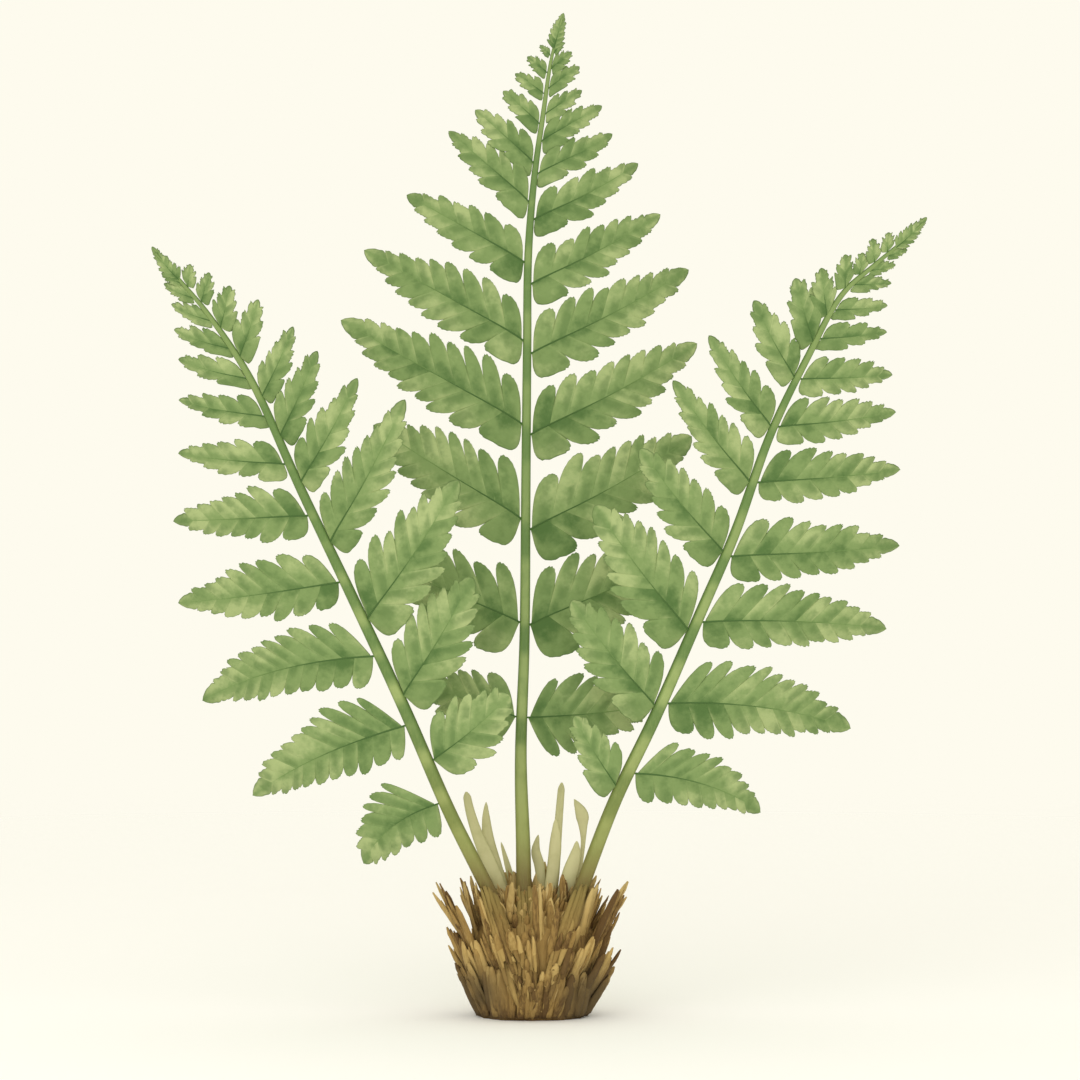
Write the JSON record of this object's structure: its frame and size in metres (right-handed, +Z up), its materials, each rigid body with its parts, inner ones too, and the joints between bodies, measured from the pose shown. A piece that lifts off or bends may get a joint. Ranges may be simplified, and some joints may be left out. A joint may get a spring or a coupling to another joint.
{
  "type": "wood fern",
  "caption": "Whole wood fern that stands on its cut foot: upright fronds with toothed pinnae on thick stipes, pale young shoots and a short scaly brown crown.",
  "frame": {"origin": "middle of the flat cut foot of the crown, which the plant stands on", "axes": "+Z up along the plant, +X to the right as seen from the front, +Y away from the viewer"},
  "size_m": [0.6098, 0.2729, 0.8039],
  "materials": {
    "foliage": "matte",
    "shoot": "matte",
    "crown": "matte"
  },
  "bodies": {
    "root": {"crown": "crown", "frond_centre": "foliage", "frond_left": "foliage", "frond_right": "foliage", "shoot_1": "shoot", "shoot_2": "shoot", "shoot_3": "shoot", "shoot_4": "shoot", "shoot_5": "shoot", "shoot_6": "shoot", "shoot_7": "shoot", "shoot_8": "shoot"}
  },
  "joints": []
}
